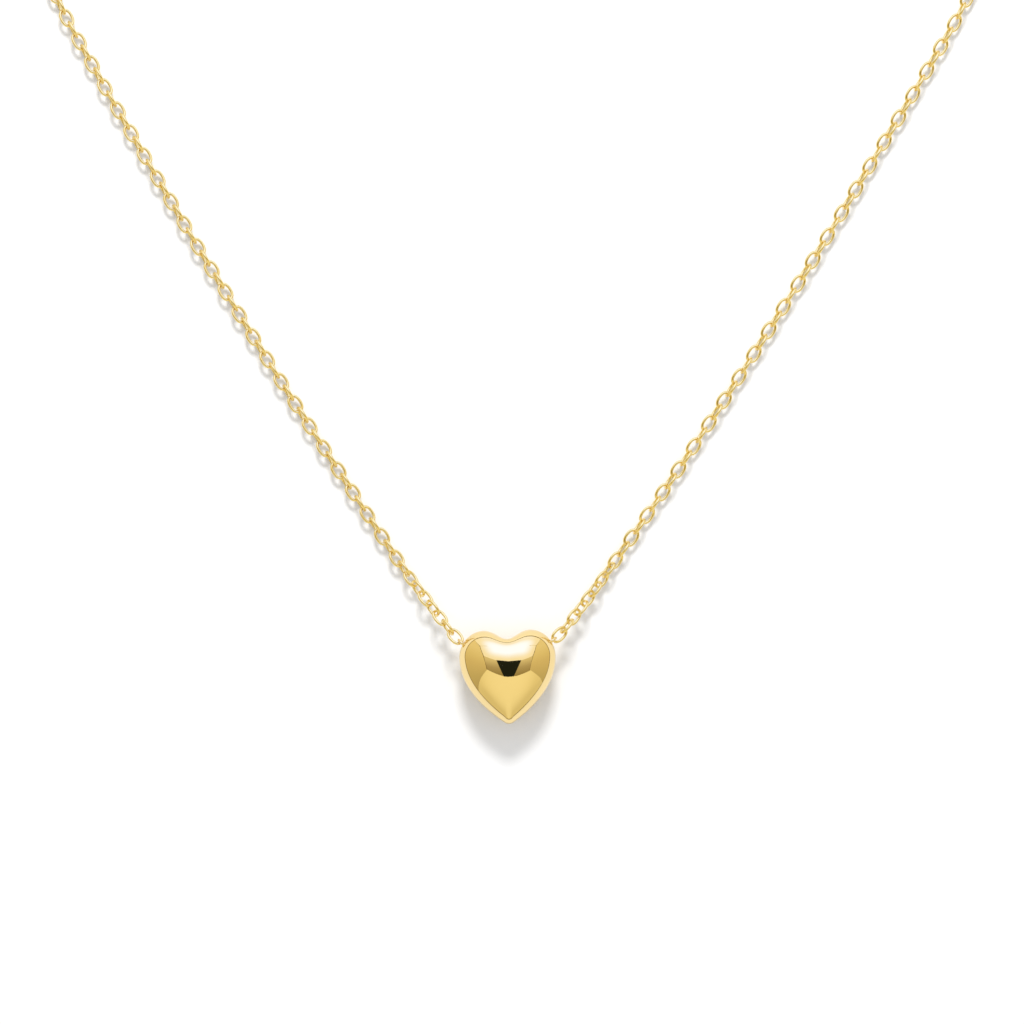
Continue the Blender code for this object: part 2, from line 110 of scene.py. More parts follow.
RIGHT_ROUTE = (
    (4.41, 3.59, 2.55), (5.5, 4.6, 2.2), (7.85, 7.6, 1.25), (10.75, 11.6, 0.75),
    (16.3, 19.6, 0.70), (21.6, 27.6, 0.70), (26.7, 35.6, 0.70), (31.7, 43.6, 0.70),
    (36.5, 51.6, 0.70), (41.3, 59.6, 0.70), (45.8, 67.6, 0.70), (48.9, 75.5, 0.70),
    (50.2, 84.5, 0.70), (50.5, 94.0, 0.70), (50.5, 104.0, 0.70), (50.1, 114.0, 0.70),
    (48.3, 123.0, 0.70), (43.6, 129.7, 0.70), (36.3, 133.4, 0.70), (27.8, 134.2, 0.70),
    (18.8, 134.2, 0.70), (8.8, 134.2, 0.70), (-1.2, 134.2, 0.70),
)

# A route becomes a curve with this many steps from point to point, and its heading is read
# over this reach to either side.
COURSE_FINENESS = 24
HEADING_REACH = 0.3 * MM

# How the links follow their route. The first steps near the heart are shorter by the slack.
# Each link leans over, by an angle that sways from link to link, and near the heart the chain
# twists a little and back. A body ends with each link that the joints name, and with the last.
LEFT_PITCH = 1.318 * MM
RIGHT_PITCH = 1.380 * MM
SLACK_STEPS = 8
LEFT_SLACK = 0.081 * MM
RIGHT_SLACK = 0.200 * MM
TWIST = math.radians(24)
TWIST_LENGTH = 12 * MM
LEAN = math.radians(14)
LEAN_SWAY = math.radians(6)
LEAN_WAVE = 2.1
LEFT_JOINTS = (1, 28, 58, 94)
RIGHT_JOINTS = (1, 28, 56, 92)
LEFT_LINKS = 132
RIGHT_LINKS = 132
STRETCHES = "abcd"
CORD_STEP = 2 * MM

# The spring ring clasp and its rings. Angles are in degrees round the clasp's middle, from the
# side away from the eye. The sizes repeat the CAD's, but for the roundings and the fineness.
RING_HEIGHT = 0.66 * MM
JUMP_RING_RADIUS = 0.95 * MM
JUMP_RING_WIRE = 0.17 * MM
END_RING_RADIUS = 1.60 * MM
END_RING_WIRE = 0.25 * MM
RING_STEPS = 96
EYE_RADIUS = 0.48 * MM
EYE_WIRE = 0.15 * MM
EYE_INSET = 0.28 * MM
CLASP_RADIUS = 2.35 * MM
CLASP_TUBE = 0.62 * MM
CLASP_HEIGHT = 0.63 * MM
SPRING_RADIUS = 0.29 * MM
SPRING_WIRE = 0.06 * MM
SPRING_TURNS = 12
SPRING_STEPS_PER_TURN = 24
SPRING_SPAN = (107, 226)
CLASP_MOUTH = (-20, 40)
CLASP_BORE = 0.42 * MM
CLASP_SEAT_DEPTH = 8
CLASP_BORE_END = 228
CLASP_SLOT = (62, 136)
CLASP_SLOT_HALF_WIDTH = 0.20 * MM
MOUTH_ROUNDING = 0.05 * MM
BOLT_RADIUS = 0.38 * MM
BOLT_SPAN = (-25, 104)
BOLT_NOSE = 0.10 * MM
BOLT_KNOB_ANGLE = 69
BOLT_STEM_RADIUS = 0.16 * MM
BOLT_KNOB_RADIUS = 0.36 * MM
BOLT_STEM_LENGTH = CLASP_TUBE + 0.12 * MM
KNOB_STEPS = 18
BEND_STEP = 1.5
ROUND_SIDES = 32

# Polished metals: colour, roughness, and the scale and strength of the wiping marks.
HEART_GOLD = ((0.89, 0.69, 0.33), 0.03, 900, 0.05)
CHAIN_GOLD = ((0.89, 0.695, 0.285), 0.10, 2500, 0.10)
CLASP_GOLD = ((0.90, 0.70, 0.27), 0.08, 2500, 0.10)
SPRING_STEEL = ((0.60, 0.60, 0.60), 0.25, 6000, 0.20)
DRIFT_SCALE = 260
DRIFT_DETAIL = 3
DRIFT_RANGE = (0.3, 0.7)
DRIFT_SHADE = 0.96
WIPE_DETAIL = 5
WIPE_STRETCH = (1, 0.15, 1)
POLISH_SPREAD = 0.25
SCRATCH_DEPTH = 0.002 * MM

# The white table, the even light all round, and the soft key light beyond the clasp's end. The
# studio is in metres.
TABLE_HALF_SIZE = 3
TABLE_WHITE = (0.86, 0.86, 0.86)
TABLE_ROUGHNESS = 0.9
AMBIENT_STRENGTH = 0.82
KEY_SIZE = (0.17, 0.11)
KEY_POWER = 2.7
KEY_PLACE = (0.0, 0.47, 0.37)
KEY_AIM = (0.0, 0.02, 0.0)

# The light tent that the gold mirrors. Its lines are directions from the heart: the lean to +X
# and to +Y for each unit of height. Where cards overlap, the nearer one is seen.
TENT_RADIUS = 0.5
OPENING_DISTANCE = 0.97 * TENT_RADIUS
CORNER_DISTANCE = 0.99 * TENT_RADIUS
WALL_DISTANCE = 0.995 * TENT_RADIUS
BACKING_DISTANCE = 1.06 * TENT_RADIUS
BACKING_SPAN = (0.001, 200)
TENT_MIDDLE = 0.03
TENT_HORIZON = 14
CARD_STEPS = 24
SEAM = 0.03
FRONT_ARC = (
    (-0.63, -0.10), (-0.41, -0.165), (-0.15, -0.235), (0.04, -0.248), (0.25, -0.241),
    (0.50, -0.188), (0.78, -0.13),
)
STRIP_FRONT = ((-0.61, -0.109), *FRONT_ARC[1:-1], (0.67, -0.153))
STRIP_BACK = (
    (-0.73, 0.335), (-0.50, 0.245), (-0.29, 0.175), (0.03, 0.150), (0.36, 0.175),
    (0.57, 0.245), (0.79, 0.335),
)
SIDE_SEAM = (
    (0.64, -0.12), (0.68, 0.10), (0.76, 0.34), (0.92, 0.62), (1.16, 1.06),
    (1.95, 1.98), (4.0, 4.4), (9.0, 10.6),
)
LEFT_WALL_END = (
    (1.23, -0.96), (1.3, -0.6), (1.4, -0.25), (1.4, 0.1), (1.3, 0.4), (1.1, 0.75), (0.8, 1.05),
)
RIGHT_WALL_END = (
    (1.92, -0.96), (1.8, -0.6), (1.6, -0.25), (1.4, 0.1), (1.3, 0.4), (1.1, 0.75), (0.8, 1.05),
)
FRONT_END = (-1.25, -0.8, -0.4, 0, 0.5, 1.2, 1.95)
CORNER_LINE = ((0.70, 0.90), (0.92, 0.99), (1.14, 1.03))
OPENING_FRONT = ((-0.105, -0.25), (0.16, -0.25))
OPENING_BACK = ((-0.30, 0.182), (0.03, 0.152), (0.36, 0.182))

# The colours that the tent's cards glow with, and how each card fades across.
STRIP_START = -0.25
STRIP_WIDENING = 0.2
STRIP_STOPS = (
    (0.0, (0.33, 0.262, 0.105)),
    (0.55, (0.502, 0.424, 0.253)),
    (1.0, (0.794, 0.716, 0.472)),
)
SOFTBOX_FIRST_LEVEL = 3
SOFTBOX_EDGE = (1.11, 1.1, 1.07)
SOFTBOX_CORE = (1.2, 1.51, 2.88)
SOFTBOX_HALF_WIDTH = 0.48
SOFTBOX_WIDENING = 0.68
SOFTBOX_SIDE_FADE = (0.42, 0.98)
SOFTBOX_FRONT_CURVE = 0.12
SOFTBOX_FRONT_FADE = (0.15, 0.50)
SOFTBOX_FAR_LOSS = 0.75
SOFTBOX_FAR_FADE = (0.8, 2.6)
WALL_STOPS = (
    (-35, (0.554, 0.48, 0.271)),
    (-20, (0.606, 0.528, 0.288)),
    (0, (0.735, 0.626, 0.35)),
    (16, (0.83, 0.728, 0.415)),
    (35, (0.925, 0.83, 0.528)),
)
FRONT_COLOUR = (1.07, 1.005, 0.71)
FRONT_SIDE_LOSS = 0.17
FRONT_SIDE_FADE = (0.1, 1.6)
FRONT_SIDE_TINT = (0, 0.03, 0.14)
FRONT_DEPTH_LOSS = 0.08
FRONT_DEPTH_FADE = (0.6, 1.9)
CORNER_COLOUR = (0.836, 0.735, 0.461)
OPENING_COLOUR = (0.016, 0.020, 0.016)
BACKING_COLOUR = (0.26, 0.20, 0.10)


def new_object(name, data):
    obj = bpy.data.objects.new(name, data)
    bpy.context.scene.collection.objects.link(obj)
    return obj


def smoothed(mesh):
    mesh.shade_smooth()
    mesh.set_sharp_from_angle(angle=SHARP_ANGLE)
    return mesh


def mesh_from(name, points, faces):
    mesh = bpy.data.meshes.new(name)
    mesh.from_pydata(points, [], faces)
    return smoothed(mesh)


def piece(name, mesh, material, body, replaces):
    """An object in its place that stands for the nodes it replaces. It rides on a body, if given."""
    obj = new_object(name, mesh)
    mesh.materials.append(material)
    if body:
        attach(obj, body)
    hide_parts(*replaces)
    return obj


# ---------------------------------------------------------------- materials


def polished_metal(name, colour, roughness, scratch_scale, scratch_strength):
    """Faint drift of the colour, and faint wiping marks in the polish and its bump."""
    material = bpy.data.materials.new(name)
    material.use_nodes = True
    tree = material.node_tree
    shader = tree.nodes["Principled BSDF"]
    shader.inputs["Metallic"].default_value = 1

    place = tree.nodes.new("ShaderNodeTexCoord")
    drift = tree.nodes.new("ShaderNodeTexNoise")
    drift.inputs["Scale"].default_value = DRIFT_SCALE
    drift.inputs["Detail"].default_value = DRIFT_DETAIL
    tree.links.new(place.outputs["Object"], drift.inputs["Vector"])
    tint = tree.nodes.new("ShaderNodeValToRGB")
    dark, full = tint.color_ramp.elements
    dark.position, full.position = DRIFT_RANGE
    dark.color = (*[c * DRIFT_SHADE for c in colour], 1)
    full.color = (*colour, 1)
    tree.links.new(drift.outputs["Fac"], tint.inputs["Fac"])
    tree.links.new(tint.outputs["Color"], shader.inputs["Base Color"])

    wipe = tree.nodes.new("ShaderNodeTexNoise")
    wipe.inputs["Scale"].default_value = scratch_scale
    wipe.inputs["Detail"].default_value = WIPE_DETAIL
    stretch = tree.nodes.new("ShaderNodeMapping")
    stretch.inputs["Scale"].default_value = WIPE_STRETCH
    tree.links.new(place.outputs["Object"], stretch.inputs["Vector"])
    tree.links.new(stretch.outputs["Vector"], wipe.inputs["Vector"])
    polish = tree.nodes.new("ShaderNodeMapRange")
    polish.inputs["To Min"].default_value = roughness * (1 - POLISH_SPREAD)
    polish.inputs["To Max"].default_value = roughness * (1 + POLISH_SPREAD)
    tree.links.new(wipe.outputs["Fac"], polish.inputs["Value"])
    tree.links.new(polish.outputs["Result"], shader.inputs["Roughness"])
    bump = tree.nodes.new("ShaderNodeBump")
    bump.inputs["Strength"].default_value = scratch_strength
    bump.inputs["Distance"].default_value = SCRATCH_DEPTH
    tree.links.new(wipe.outputs["Fac"], bump.inputs["Height"])
    tree.links.new(bump.outputs["Normal"], shader.inputs["Normal"])
    return material


# ---------------------------------------------------------------- chain


class Course:
    """A smooth curve through a half's points, read by the length run from its start."""

    def __init__(self, route):
        knots = [Vector(p) * MM for p in route]
        knots = [2 * knots[0] - knots[1]] + knots + [2 * knots[-1] - knots[-2]]
        self.points = []
        for a, b, c, d in zip(knots, knots[1:], knots[2:], knots[3:], strict=False):
            for n in range(COURSE_FINENESS):
                t = n / COURSE_FINENESS
                self.points.append(
                    (b * 2 + (c - a) * t + (a * 2 - b * 5 + c * 4 - d) * t * t
                     + (b * 3 - a - c * 3 + d) * t**3) / 2
                )
        self.points.append(knots[-2])
        self.lengths = [0.0]
        for a, b in zip(self.points, self.points[1:], strict=False):
            self.lengths.append(self.lengths[-1] + (b - a).length)

    def at(self, length):
        """The point there. Past either end it goes straight on."""
        for n, reached in enumerate(self.lengths[1:], 1):
            if reached >= length or n == len(self.lengths) - 1:
                before = self.lengths[n - 1]
                share = (length - before) / (reached - before)
                return self.points[n - 1].lerp(self.points[n], share)

    def along(self, length):
        """The heading there."""
        return (self.at(length + HEADING_REACH) - self.at(length - HEADING_REACH)).normalized()

    def frame(self, length, roll):
        """The axes of a link there, as a rotation: X along the chain, Z across the link."""
        x = self.along(length)
        side = Vector((0, 0, 1)).cross(x).normalized()
        up = x.cross(side)
        y = side * math.cos(roll) + up * math.sin(roll)
        return Matrix((x, y, x.cross(y))).transposed()


def ring_points(centreline, wire, sides):
    """Points and faces of round wire swept along a closed line in the XY plane."""
    count = len(centreline)
    points = []
    for n, p in enumerate(centreline):
        along = (centreline[(n + 1) % count] - centreline[n - 1]).normalized()
        out = Vector((along.y, -along.x, 0))
        for k in range(sides):
            angle = math.tau * k / sides
            up = Vector((0, 0, wire * math.sin(angle)))
            points.append(p + out * (wire * math.cos(angle)) + up)
    faces = []
    for n in range(count):
        here, there = n * sides, (n + 1) % count * sides
        for k in range(sides):
            after = (k + 1) % sides
            faces.append((here + k, there + k, there + after, here + after))
    return points, faces


def link_line():
    """The middle line of a link's wire."""
    line = []
    for n in range(LINK_STEPS):
        c, s = math.cos(math.tau * n / LINK_STEPS), math.sin(math.tau * n / LINK_STEPS)
        x = math.copysign(abs(c) ** (2 / LINK_OVALNESS), c) * LINK_HALF_LENGTH
        y = math.copysign(abs(s) ** (2 / LINK_OVALNESS), s) * LINK_HALF_WIDTH
        line.append(Vector((x, y, 0)))
    return line


def circle(radius, steps):
    angles = [math.tau * n / steps for n in range(steps)]
    return [Vector((radius * math.cos(a), radius * math.sin(a), 0)) for a in angles]


class Half:
    """One half of the chain, and the bodies that its links ride on."""

    def __init__(self, name, route, pitch, slack, joints, links):
        self.name = name
        self.course = Course(route)
        self.pitch = pitch
        self.slack = slack
        self.joints = joints
        self.links = links
        near_end = LOOP_RADIUS - 2 * WIRE_RADIUS - TOUCH_GAP
        self.first = near_end + LINK_HALF_LENGTH

    def length_at(self, link):
        """How far along the route the link's middle is."""
        steps = link - 1
        return self.first + steps * self.pitch - min(steps, SLACK_STEPS) * self.slack

    def roll(self, link):
        """How far the link is turned about the chain's own line."""
        twist = TWIST * math.sin(math.pi * min(self.length_at(link) / TWIST_LENGTH, 1))
        lean = LEAN + LEAN_SWAY * math.sin(link * LEAN_WAVE)
        return twist + lean + (0 if link % 2 else math.pi / 2)

    def links_mesh(self, name, first, last):
        """The links from first to last as one mesh."""
        shape, sides = ring_points(link_line(), WIRE_RADIUS, WIRE_SIDES)
        points, faces = [], []
        for link in range(first, last + 1):
            length, start = self.length_at(link), len(points)
            turn, place = self.course.frame(length, self.roll(link)), self.course.at(length)
            points += [place + turn @ p for p in shape]
            faces += [tuple(start + n for n in face) for face in sides]
        return mesh_from(name, points, faces)

    def build(self, material):
        """The first link by itself, then a cord of links from each joint to the next."""
        name = self.name
        node = f"{name}_link_001"
        piece(f"{name}_first_link_wire", self.links_mesh(node, 1, 1), material,
              f"{name}_first_link", [node])
        ends = self.joints[1:] + (self.links,)
        for letter, start, end in zip(STRETCHES, self.joints, ends, strict=True):
            body = f"{name}_chain_{letter}"
            nodes = [f"{name}_link_{start + 1:03d}", body, f"{name}_link_{end:03d}"]
            mesh = self.links_mesh(f"{body}_links", start + 1, end)
            chain = piece(f"{body}_links", mesh, material, body, nodes)
            reach = LINK_HALF_LENGTH + WIRE_RADIUS
            low, high = self.length_at(start + 1) - reach, self.length_at(end) + reach
            steps = max(2, round((high - low) / CORD_STEP))
            path = [self.course.at(low + (high - low) * n / steps) for n in range(steps + 1)]


# ---------------------------------------------------------------- heart


def bezier(curve, t):
    a, b, c, d = (Vector(p) for p in curve)
    u = 1 - t
    return a * u**3 + b * (3 * u * u * t) + c * (3 * u * t * t) + d * t**3


def heart_outline():
    """The outline in the heart's own frame, evenly spaced, anticlockwise from the cleft."""
    shares = [n / OUTLINE_FINENESS for n in range(OUTLINE_FINENESS)]
    half = [bezier(curve, share) * MM for curve in HEART_HALF_OUTLINE for share in shares]
    tip = Vector(HEART_HALF_OUTLINE[-1][-1]) * MM
    line = [Vector((-p.x, p.y)) for p in half] + [tip] + half[:0:-1]
    line.append(line[0])
    reach = [0.0]
    for a, b in zip(line, line[1:], strict=False):
        reach.append(reach[-1] + (b - a).length)
    even, n = [], 0
    for k in range(OUTLINE_POINTS):
        wanted = reach[-1] * k / OUTLINE_POINTS
        while reach[n + 1] <= wanted:
            n += 1
        even.append(line[n].lerp(line[n + 1], (wanted - reach[n]) / (reach[n + 1] - reach[n])))
    return even


def heart_contour(outline, size, inset):
    """One level line of the puffed face: the outline at size 1, a circle near the crest."""
    crest = Vector((0, HEART_CREST_Y))
    mean = sum((p - crest).length for p in outline) / len(outline)
    blend = size**HEART_ROUNDNESS
    line = []
    for p in outline:
        out = p - crest
        reach = out.length * blend + mean * (1 - blend) - inset
        line.append(crest + out.normalized() * reach * size)
    return line


def heart_shell(name, side, flat_depth):
    """Half of the hollow heart, in place: a bowl with an even wall."""
    outline = heart_outline()
    count = len(outline)
    turn = Matrix.Rotation(HEART_TURN, 3, "Z")
    middle = Vector((0, 0, HEART_HALF_THICKNESS - HEART_BACK_FLAT_DEPTH + HEART_SEAM_GAP))
    points, rings = [], []
    for inset, reach, cut in (
        (0, HEART_HALF_THICKNESS, flat_depth),
        (HEART_WALL, HEART_HALF_THICKNESS - HEART_WALL, 0),
    ):
        first = math.acos(1 - cut / reach) if cut else HEART_CREST_ANGLE
        surface = []
        for n in range(HEART_RINGS + 1):
            angle = first + (math.pi / 2 - first) * n / HEART_RINGS
            line = heart_contour(outline, math.sin(angle), inset)
            height = side * (reach * math.cos(angle) + HEART_SEAM_GAP / 2)
            surface.append(range(len(points), len(points) + count))
            points += [middle + turn @ Vector((p.x, p.y, height)) for p in line]
        rings += surface if inset == 0 else surface[::-1]
    faces = [tuple(rings[0]), tuple(rings[-1])[::-1]]
    for upper, lower in zip(rings, rings[1:], strict=False):
        for n in range(count):
            after = (n + 1) % count
            faces.append((upper[n], lower[n], lower[after], upper[after]))
    if side < 0:
        faces = [face[::-1] for face in faces]
    return mesh_from(name, points, faces)


def build_heart(material, halves):
    """The two shells, and the loop on each shoulder that a half hangs on."""
    piece("heart_front", heart_shell("heart_front", 1, 0), material, "heart",
          ["heart_front_shell"])
    piece("heart_back", heart_shell("heart_back", -1, HEART_BACK_FLAT_DEPTH), material, "heart",
          ["heart_back_shell"])
    for half in halves:
        shape, faces = ring_points(circle(LOOP_RADIUS, LINK_STEPS), WIRE_RADIUS, WIRE_SIDES)
        turn = half.course.frame(LOOP_RADIUS, math.pi / 2)
        points = [half.course.at(0) + turn @ p for p in shape]
        mesh = mesh_from(f"{half.name}_loop", points, faces)
        piece(f"{half.name}_loop", mesh, material, "heart",
              [f"{half.name}_shoulder_loop"])


# ---------------------------------------------------------------- clasp


def spoke(angle):
    """The level direction at this angle in degrees."""
    return Vector((math.cos(math.radians(angle)), math.sin(math.radians(angle)), 0))


def rod_faces(rounds, sides):
    """Faces of a closed rod, of points that go round it, one round after another."""
    last = (rounds - 1) * sides
    faces = [tuple(range(sides))[::-1], tuple(range(last, last + sides))]
    for n in range(rounds - 1):
        here, there = n * sides, (n + 1) * sides
        for k in range(sides):
            after = (k + 1) % sides
            faces.append((here + k, here + after, there + after, there + k))
    return faces


def bent_rod(name, sections):
    """A closed round body bent round the clasp's middle: each section has an angle and a radius."""
    points = []
    for angle, wire in sections:
        out = spoke(angle)
        for k in range(ROUND_SIDES):
            turn = math.tau * k / ROUND_SIDES
            reach = CLASP_RADIUS + wire * math.cos(turn)
            points.append(out * reach + Vector((0, 0, wire * math.sin(turn))))
    mesh = mesh_from(name, points, rod_faces(len(sections), ROUND_SIDES))
    made = bmesh.new()
    made.from_mesh(mesh)
    bmesh.ops.recalc_face_normals(made, faces=made.faces)
    made.to_mesh(mesh)
    made.free()
    return mesh


def even_sections(first, last, wire):
    """Sections of one radius, close enough for a smooth bend."""
    steps = max(2, round(abs(last - first) / BEND_STEP))
    return [(first + (last - first) * n / steps, wire) for n in range(steps + 1)]


def combine(mesh, other, operation):
    """The mesh after a Boolean with the other, both in the same frame."""
    body, tool = new_object("combine_body", mesh), new_object("combine_tool", other)
    step = body.modifiers.new("step", "BOOLEAN")
    step.operation = operation
    step.object = tool
    bpy.context.view_layer.update()
    graph = bpy.context.evaluated_depsgraph_get()
    made = bpy.data.meshes.new_from_object(body.evaluated_get(graph))
    made.name = mesh.name
    for obj in (body, tool):
        bpy.data.objects.remove(obj)
    return smoothed(made)


def degrees_for(length):
    """The angle at the clasp's middle that spans this length along the tube."""
    return math.degrees(length / CLASP_RADIUS)


def slot_mesh():
    """The bent block that cuts the knob's slot out of the tube's outer side."""
    first, last = CLASP_SLOT
    steps = round((last - first) / BEND_STEP)
    points = []
    for n in range(steps + 1):
        out = spoke(first + (last - first) * n / steps)
        for reach, high in ((0, -1), (2, -1), (2, 1), (0, 1)):
            across = CLASP_RADIUS + reach * CLASP_TUBE
            points.append(out * across + Vector((0, 0, high * CLASP_SLOT_HALF_WIDTH)))
    return mesh_from("slot", points, [face[::-1] for face in rod_faces(steps + 1, 4)])


def tube_mesh():
    """The bent tube with its closed bore, the seat for the bolt's nose and the knob's slot."""
    mouth, far = CLASP_MOUTH[1], 360 + CLASP_MOUTH[0]
    edge = degrees_for(MOUTH_ROUNDING)
    rounded = CLASP_TUBE - MOUTH_ROUNDING
    sections = even_sections(CLASP_BORE_END, mouth, CLASP_BORE)
    sections.append((mouth, rounded))
    sections += even_sections(mouth + edge, far - edge, CLASP_TUBE)
    sections.append((far, rounded))
    sections += [(far, CLASP_BORE), (far - CLASP_SEAT_DEPTH, CLASP_BORE)]
    return combine(bent_rod("clasp_tube", sections), slot_mesh(), "DIFFERENCE")


def knob_mesh():
    """The bolt's stem and round knob, pointing out of the tube at its angle."""
    profile = [(0, BOLT_STEM_RADIUS), (BOLT_STEM_LENGTH, BOLT_STEM_RADIUS)]
    start = math.asin(BOLT_STEM_RADIUS / BOLT_KNOB_RADIUS)
    middle = BOLT_STEM_LENGTH + BOLT_KNOB_RADIUS * math.cos(start)
    for n in range(1, KNOB_STEPS):
        angle = start + (math.pi - start) * n / KNOB_STEPS
        along = middle - BOLT_KNOB_RADIUS * math.cos(angle)
        profile.append((along, BOLT_KNOB_RADIUS * math.sin(angle)))
    around = Matrix.Rotation(math.radians(BOLT_KNOB_ANGLE), 3, "Z")
    points = []
    for along, radius in profile:
        for k in range(ROUND_SIDES):
            turn = math.tau * k / ROUND_SIDES
            place = Vector((CLASP_RADIUS + along, radius * math.cos(turn), radius * math.sin(turn)))
            points.append(around @ place)
    return mesh_from("knob", points, rod_faces(len(profile), ROUND_SIDES))


def bolt_mesh():
    """The bent bolt, narrower at its nose, with its knob."""
    nose, tail = BOLT_SPAN
    edge = degrees_for(BOLT_NOSE)
    sections = [(nose, BOLT_RADIUS - BOLT_NOSE), *even_sections(nose + edge, tail, BOLT_RADIUS)]
    return combine(bent_rod("clasp_bolt_rod", sections), knob_mesh(), "UNION")


def spring_mesh():
    """The helical spring behind the bolt: wire swept along a helix round the bore's middle line."""
    first, last = (math.radians(a) for a in SPRING_SPAN)
    steps = SPRING_TURNS * SPRING_STEPS_PER_TURN
    line = []
    for n in range(steps + 1):
        angle = first + (last - first) * n / steps
        turn = math.tau * SPRING_TURNS * n / steps
        reach = CLASP_RADIUS + SPRING_RADIUS * math.cos(turn)
        height = SPRING_RADIUS * math.sin(turn)
        line.append(Vector((reach * math.cos(angle), reach * math.sin(angle), height)))
    points = []
    for n, place in enumerate(line):
        along = (line[min(n + 1, steps)] - line[max(n - 1, 0)]).normalized()
        middle = Vector((place.x, place.y, 0)).normalized() * CLASP_RADIUS
        out = (place - middle).normalized()
        side = along.cross(out).normalized()
        for k in range(WIRE_SIDES):
            turn = math.tau * k / WIRE_SIDES
            points.append(place + SPRING_WIRE * (out * math.cos(turn) + side * math.sin(turn)))
    return mesh_from("spring", points, rod_faces(len(line), WIRE_SIDES))


def ring_mesh(name, radius, wire):
    return mesh_from(name, *ring_points(circle(radius, RING_STEPS), wire, ROUND_SIDES))


def placed(mesh, place, turn):
    mesh.transform(Matrix.Translation(place) @ turn.to_4x4())
    return mesh


def ring_place(half, radius, wire):
    """The middle of a ring hooked through the half's last link, and the heading there."""
    last = half.length_at(half.links)
    heading = half.course.along(last)
    turn = Matrix.Rotation(math.atan2(heading.y, heading.x), 3, "Z")
    reach = LINK_HALF_LENGTH + radius - wire - WIRE_RADIUS - RING_GAP
    middle = half.course.at(last) + turn @ Vector((reach, 0, 0))
    middle.z = RING_HEIGHT
    return middle, turn


def build_clasp(left, right, material, steel):
    """The jump ring, the spring ring clasp on it, and the ring that the clasp hooks into."""
    middle, turn = ring_place(right, END_RING_RADIUS, END_RING_WIRE)
    ring = placed(ring_mesh("end_ring_wire", END_RING_RADIUS, END_RING_WIRE), middle, turn)
    piece("end_ring_wire", ring, material, "end_ring", ["end_ring"])
    middle, turn = ring_place(left, JUMP_RING_RADIUS, JUMP_RING_WIRE)
    ring = placed(ring_mesh("jump_ring_wire", JUMP_RING_RADIUS, JUMP_RING_WIRE), middle, turn)
    piece("jump_ring_wire", ring, material, "jump_ring", ["jump_ring"])

    eye_offset = CLASP_RADIUS + CLASP_TUBE + EYE_RADIUS + EYE_WIRE - EYE_INSET
    reach = JUMP_RING_RADIUS + EYE_RADIUS - EYE_WIRE - JUMP_RING_WIRE - TOUCH_GAP + eye_offset
    middle = middle + turn @ Vector((reach, 0, 0))
    middle.z = CLASP_HEIGHT
    eye_place = middle - turn @ Vector((eye_offset, 0, 0))
    upright = turn @ Matrix.Rotation(math.pi / 2, 3, "X")
    eye = placed(ring_mesh("eye", EYE_RADIUS, EYE_WIRE), eye_place, upright)
    piece("clasp_eye_ring", eye, material, "clasp", ["clasp_eye"])
    tube = placed(tube_mesh(), middle, turn)
    piece("clasp_tube", tube, material, "clasp", ["clasp_ring_tube"])
    bolt = placed(bolt_mesh(), middle, turn)
    piece("clasp_bolt_and_knob", bolt, material, "clasp_bolt", ["clasp_bolt"])
    coil = placed(spring_mesh(), middle, turn)
    spring = piece("clasp_spring_wire", coil, steel, None, ["clasp_spring"])
    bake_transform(spring)


# ---------------------------------------------------------------- studio


def matt(name, colour, roughness):
    material = bpy.data.materials.new(name)
    material.use_nodes = True
    shader = material.node_tree.nodes["Principled BSDF"]
    shader.inputs["Base Color"].default_value = (*colour, 1)
    shader.inputs["Roughness"].default_value = roughness
    shader.inputs["Specular IOR Level"].default_value = 0.0
    return material


def glowing(name):
    """A card's glow: its strength and tint are painted on its corners."""
    material = bpy.data.materials.new(name)
    material.use_nodes = True
    tree = material.node_tree
    tree.nodes.clear()
    paint = tree.nodes.new("ShaderNodeVertexColor")
    paint.layer_name = "glow"
    light = tree.nodes.new("ShaderNodeEmission")
    tree.links.new(paint.outputs["Color"], light.inputs["Color"])
    out = tree.nodes.new("ShaderNodeOutputMaterial")
    tree.links.new(light.outputs["Emission"], out.inputs["Surface"])
    material.cycles.emission_sampling = "NONE"
    return material


def on_line(line, share):
    """The point at this share of a line's corners, from 0 at its start to 1 at its end."""
    place = share * (len(line) - 1)
    n = min(int(place), len(line) - 2)
    a, b = Vector(line[n]), Vector(line[n + 1])
    return a.lerp(b, place - n)


def card(name, lines, glow, material, distance=TENT_RADIUS):
    """A curved card of the light tent, spanned across lines, that only shows in reflections.

    A point of a line is a direction from the heart, and glow gives the card's colour there.
    """
    points, faces, colours = [], [], []
    rows = []
    for near, far in zip(lines, lines[1:], strict=False):
        rows += [(near, far, (n / CARD_STEPS) ** 2) for n in range(CARD_STEPS)]
    rows.append((*lines[-2:], 1))
    for near, far, share in rows:
        for column in range(CARD_STEPS + 1):
            across = column / CARD_STEPS
            lean = on_line(near, across).lerp(on_line(far, across), share)
            points.append(Vector((lean.x, lean.y, 1)).normalized() * distance)
            colours.append((*glow(lean.x, lean.y), 1))
    for row in range(len(rows) - 1):
        for column in range(CARD_STEPS):
            corner = row * (CARD_STEPS + 1) + column
            faces.append((corner, corner + 1, corner + CARD_STEPS + 2, corner + CARD_STEPS + 1))
    mesh = bpy.data.meshes.new(name)
    mesh.from_pydata(points, [], faces)
    paint = mesh.color_attributes.new("glow", "FLOAT_COLOR", "POINT")
    for n, colour in enumerate(colours):
        paint.data[n].color = colour
    mesh.materials.append(material)
    obj = new_object(name, mesh)
    obj.visible_camera = False
    obj.visible_diffuse = False
    obj.visible_shadow = False


def mix(a, b, share):
    return tuple(x + (y - x) * share for x, y in zip(a, b, strict=True))


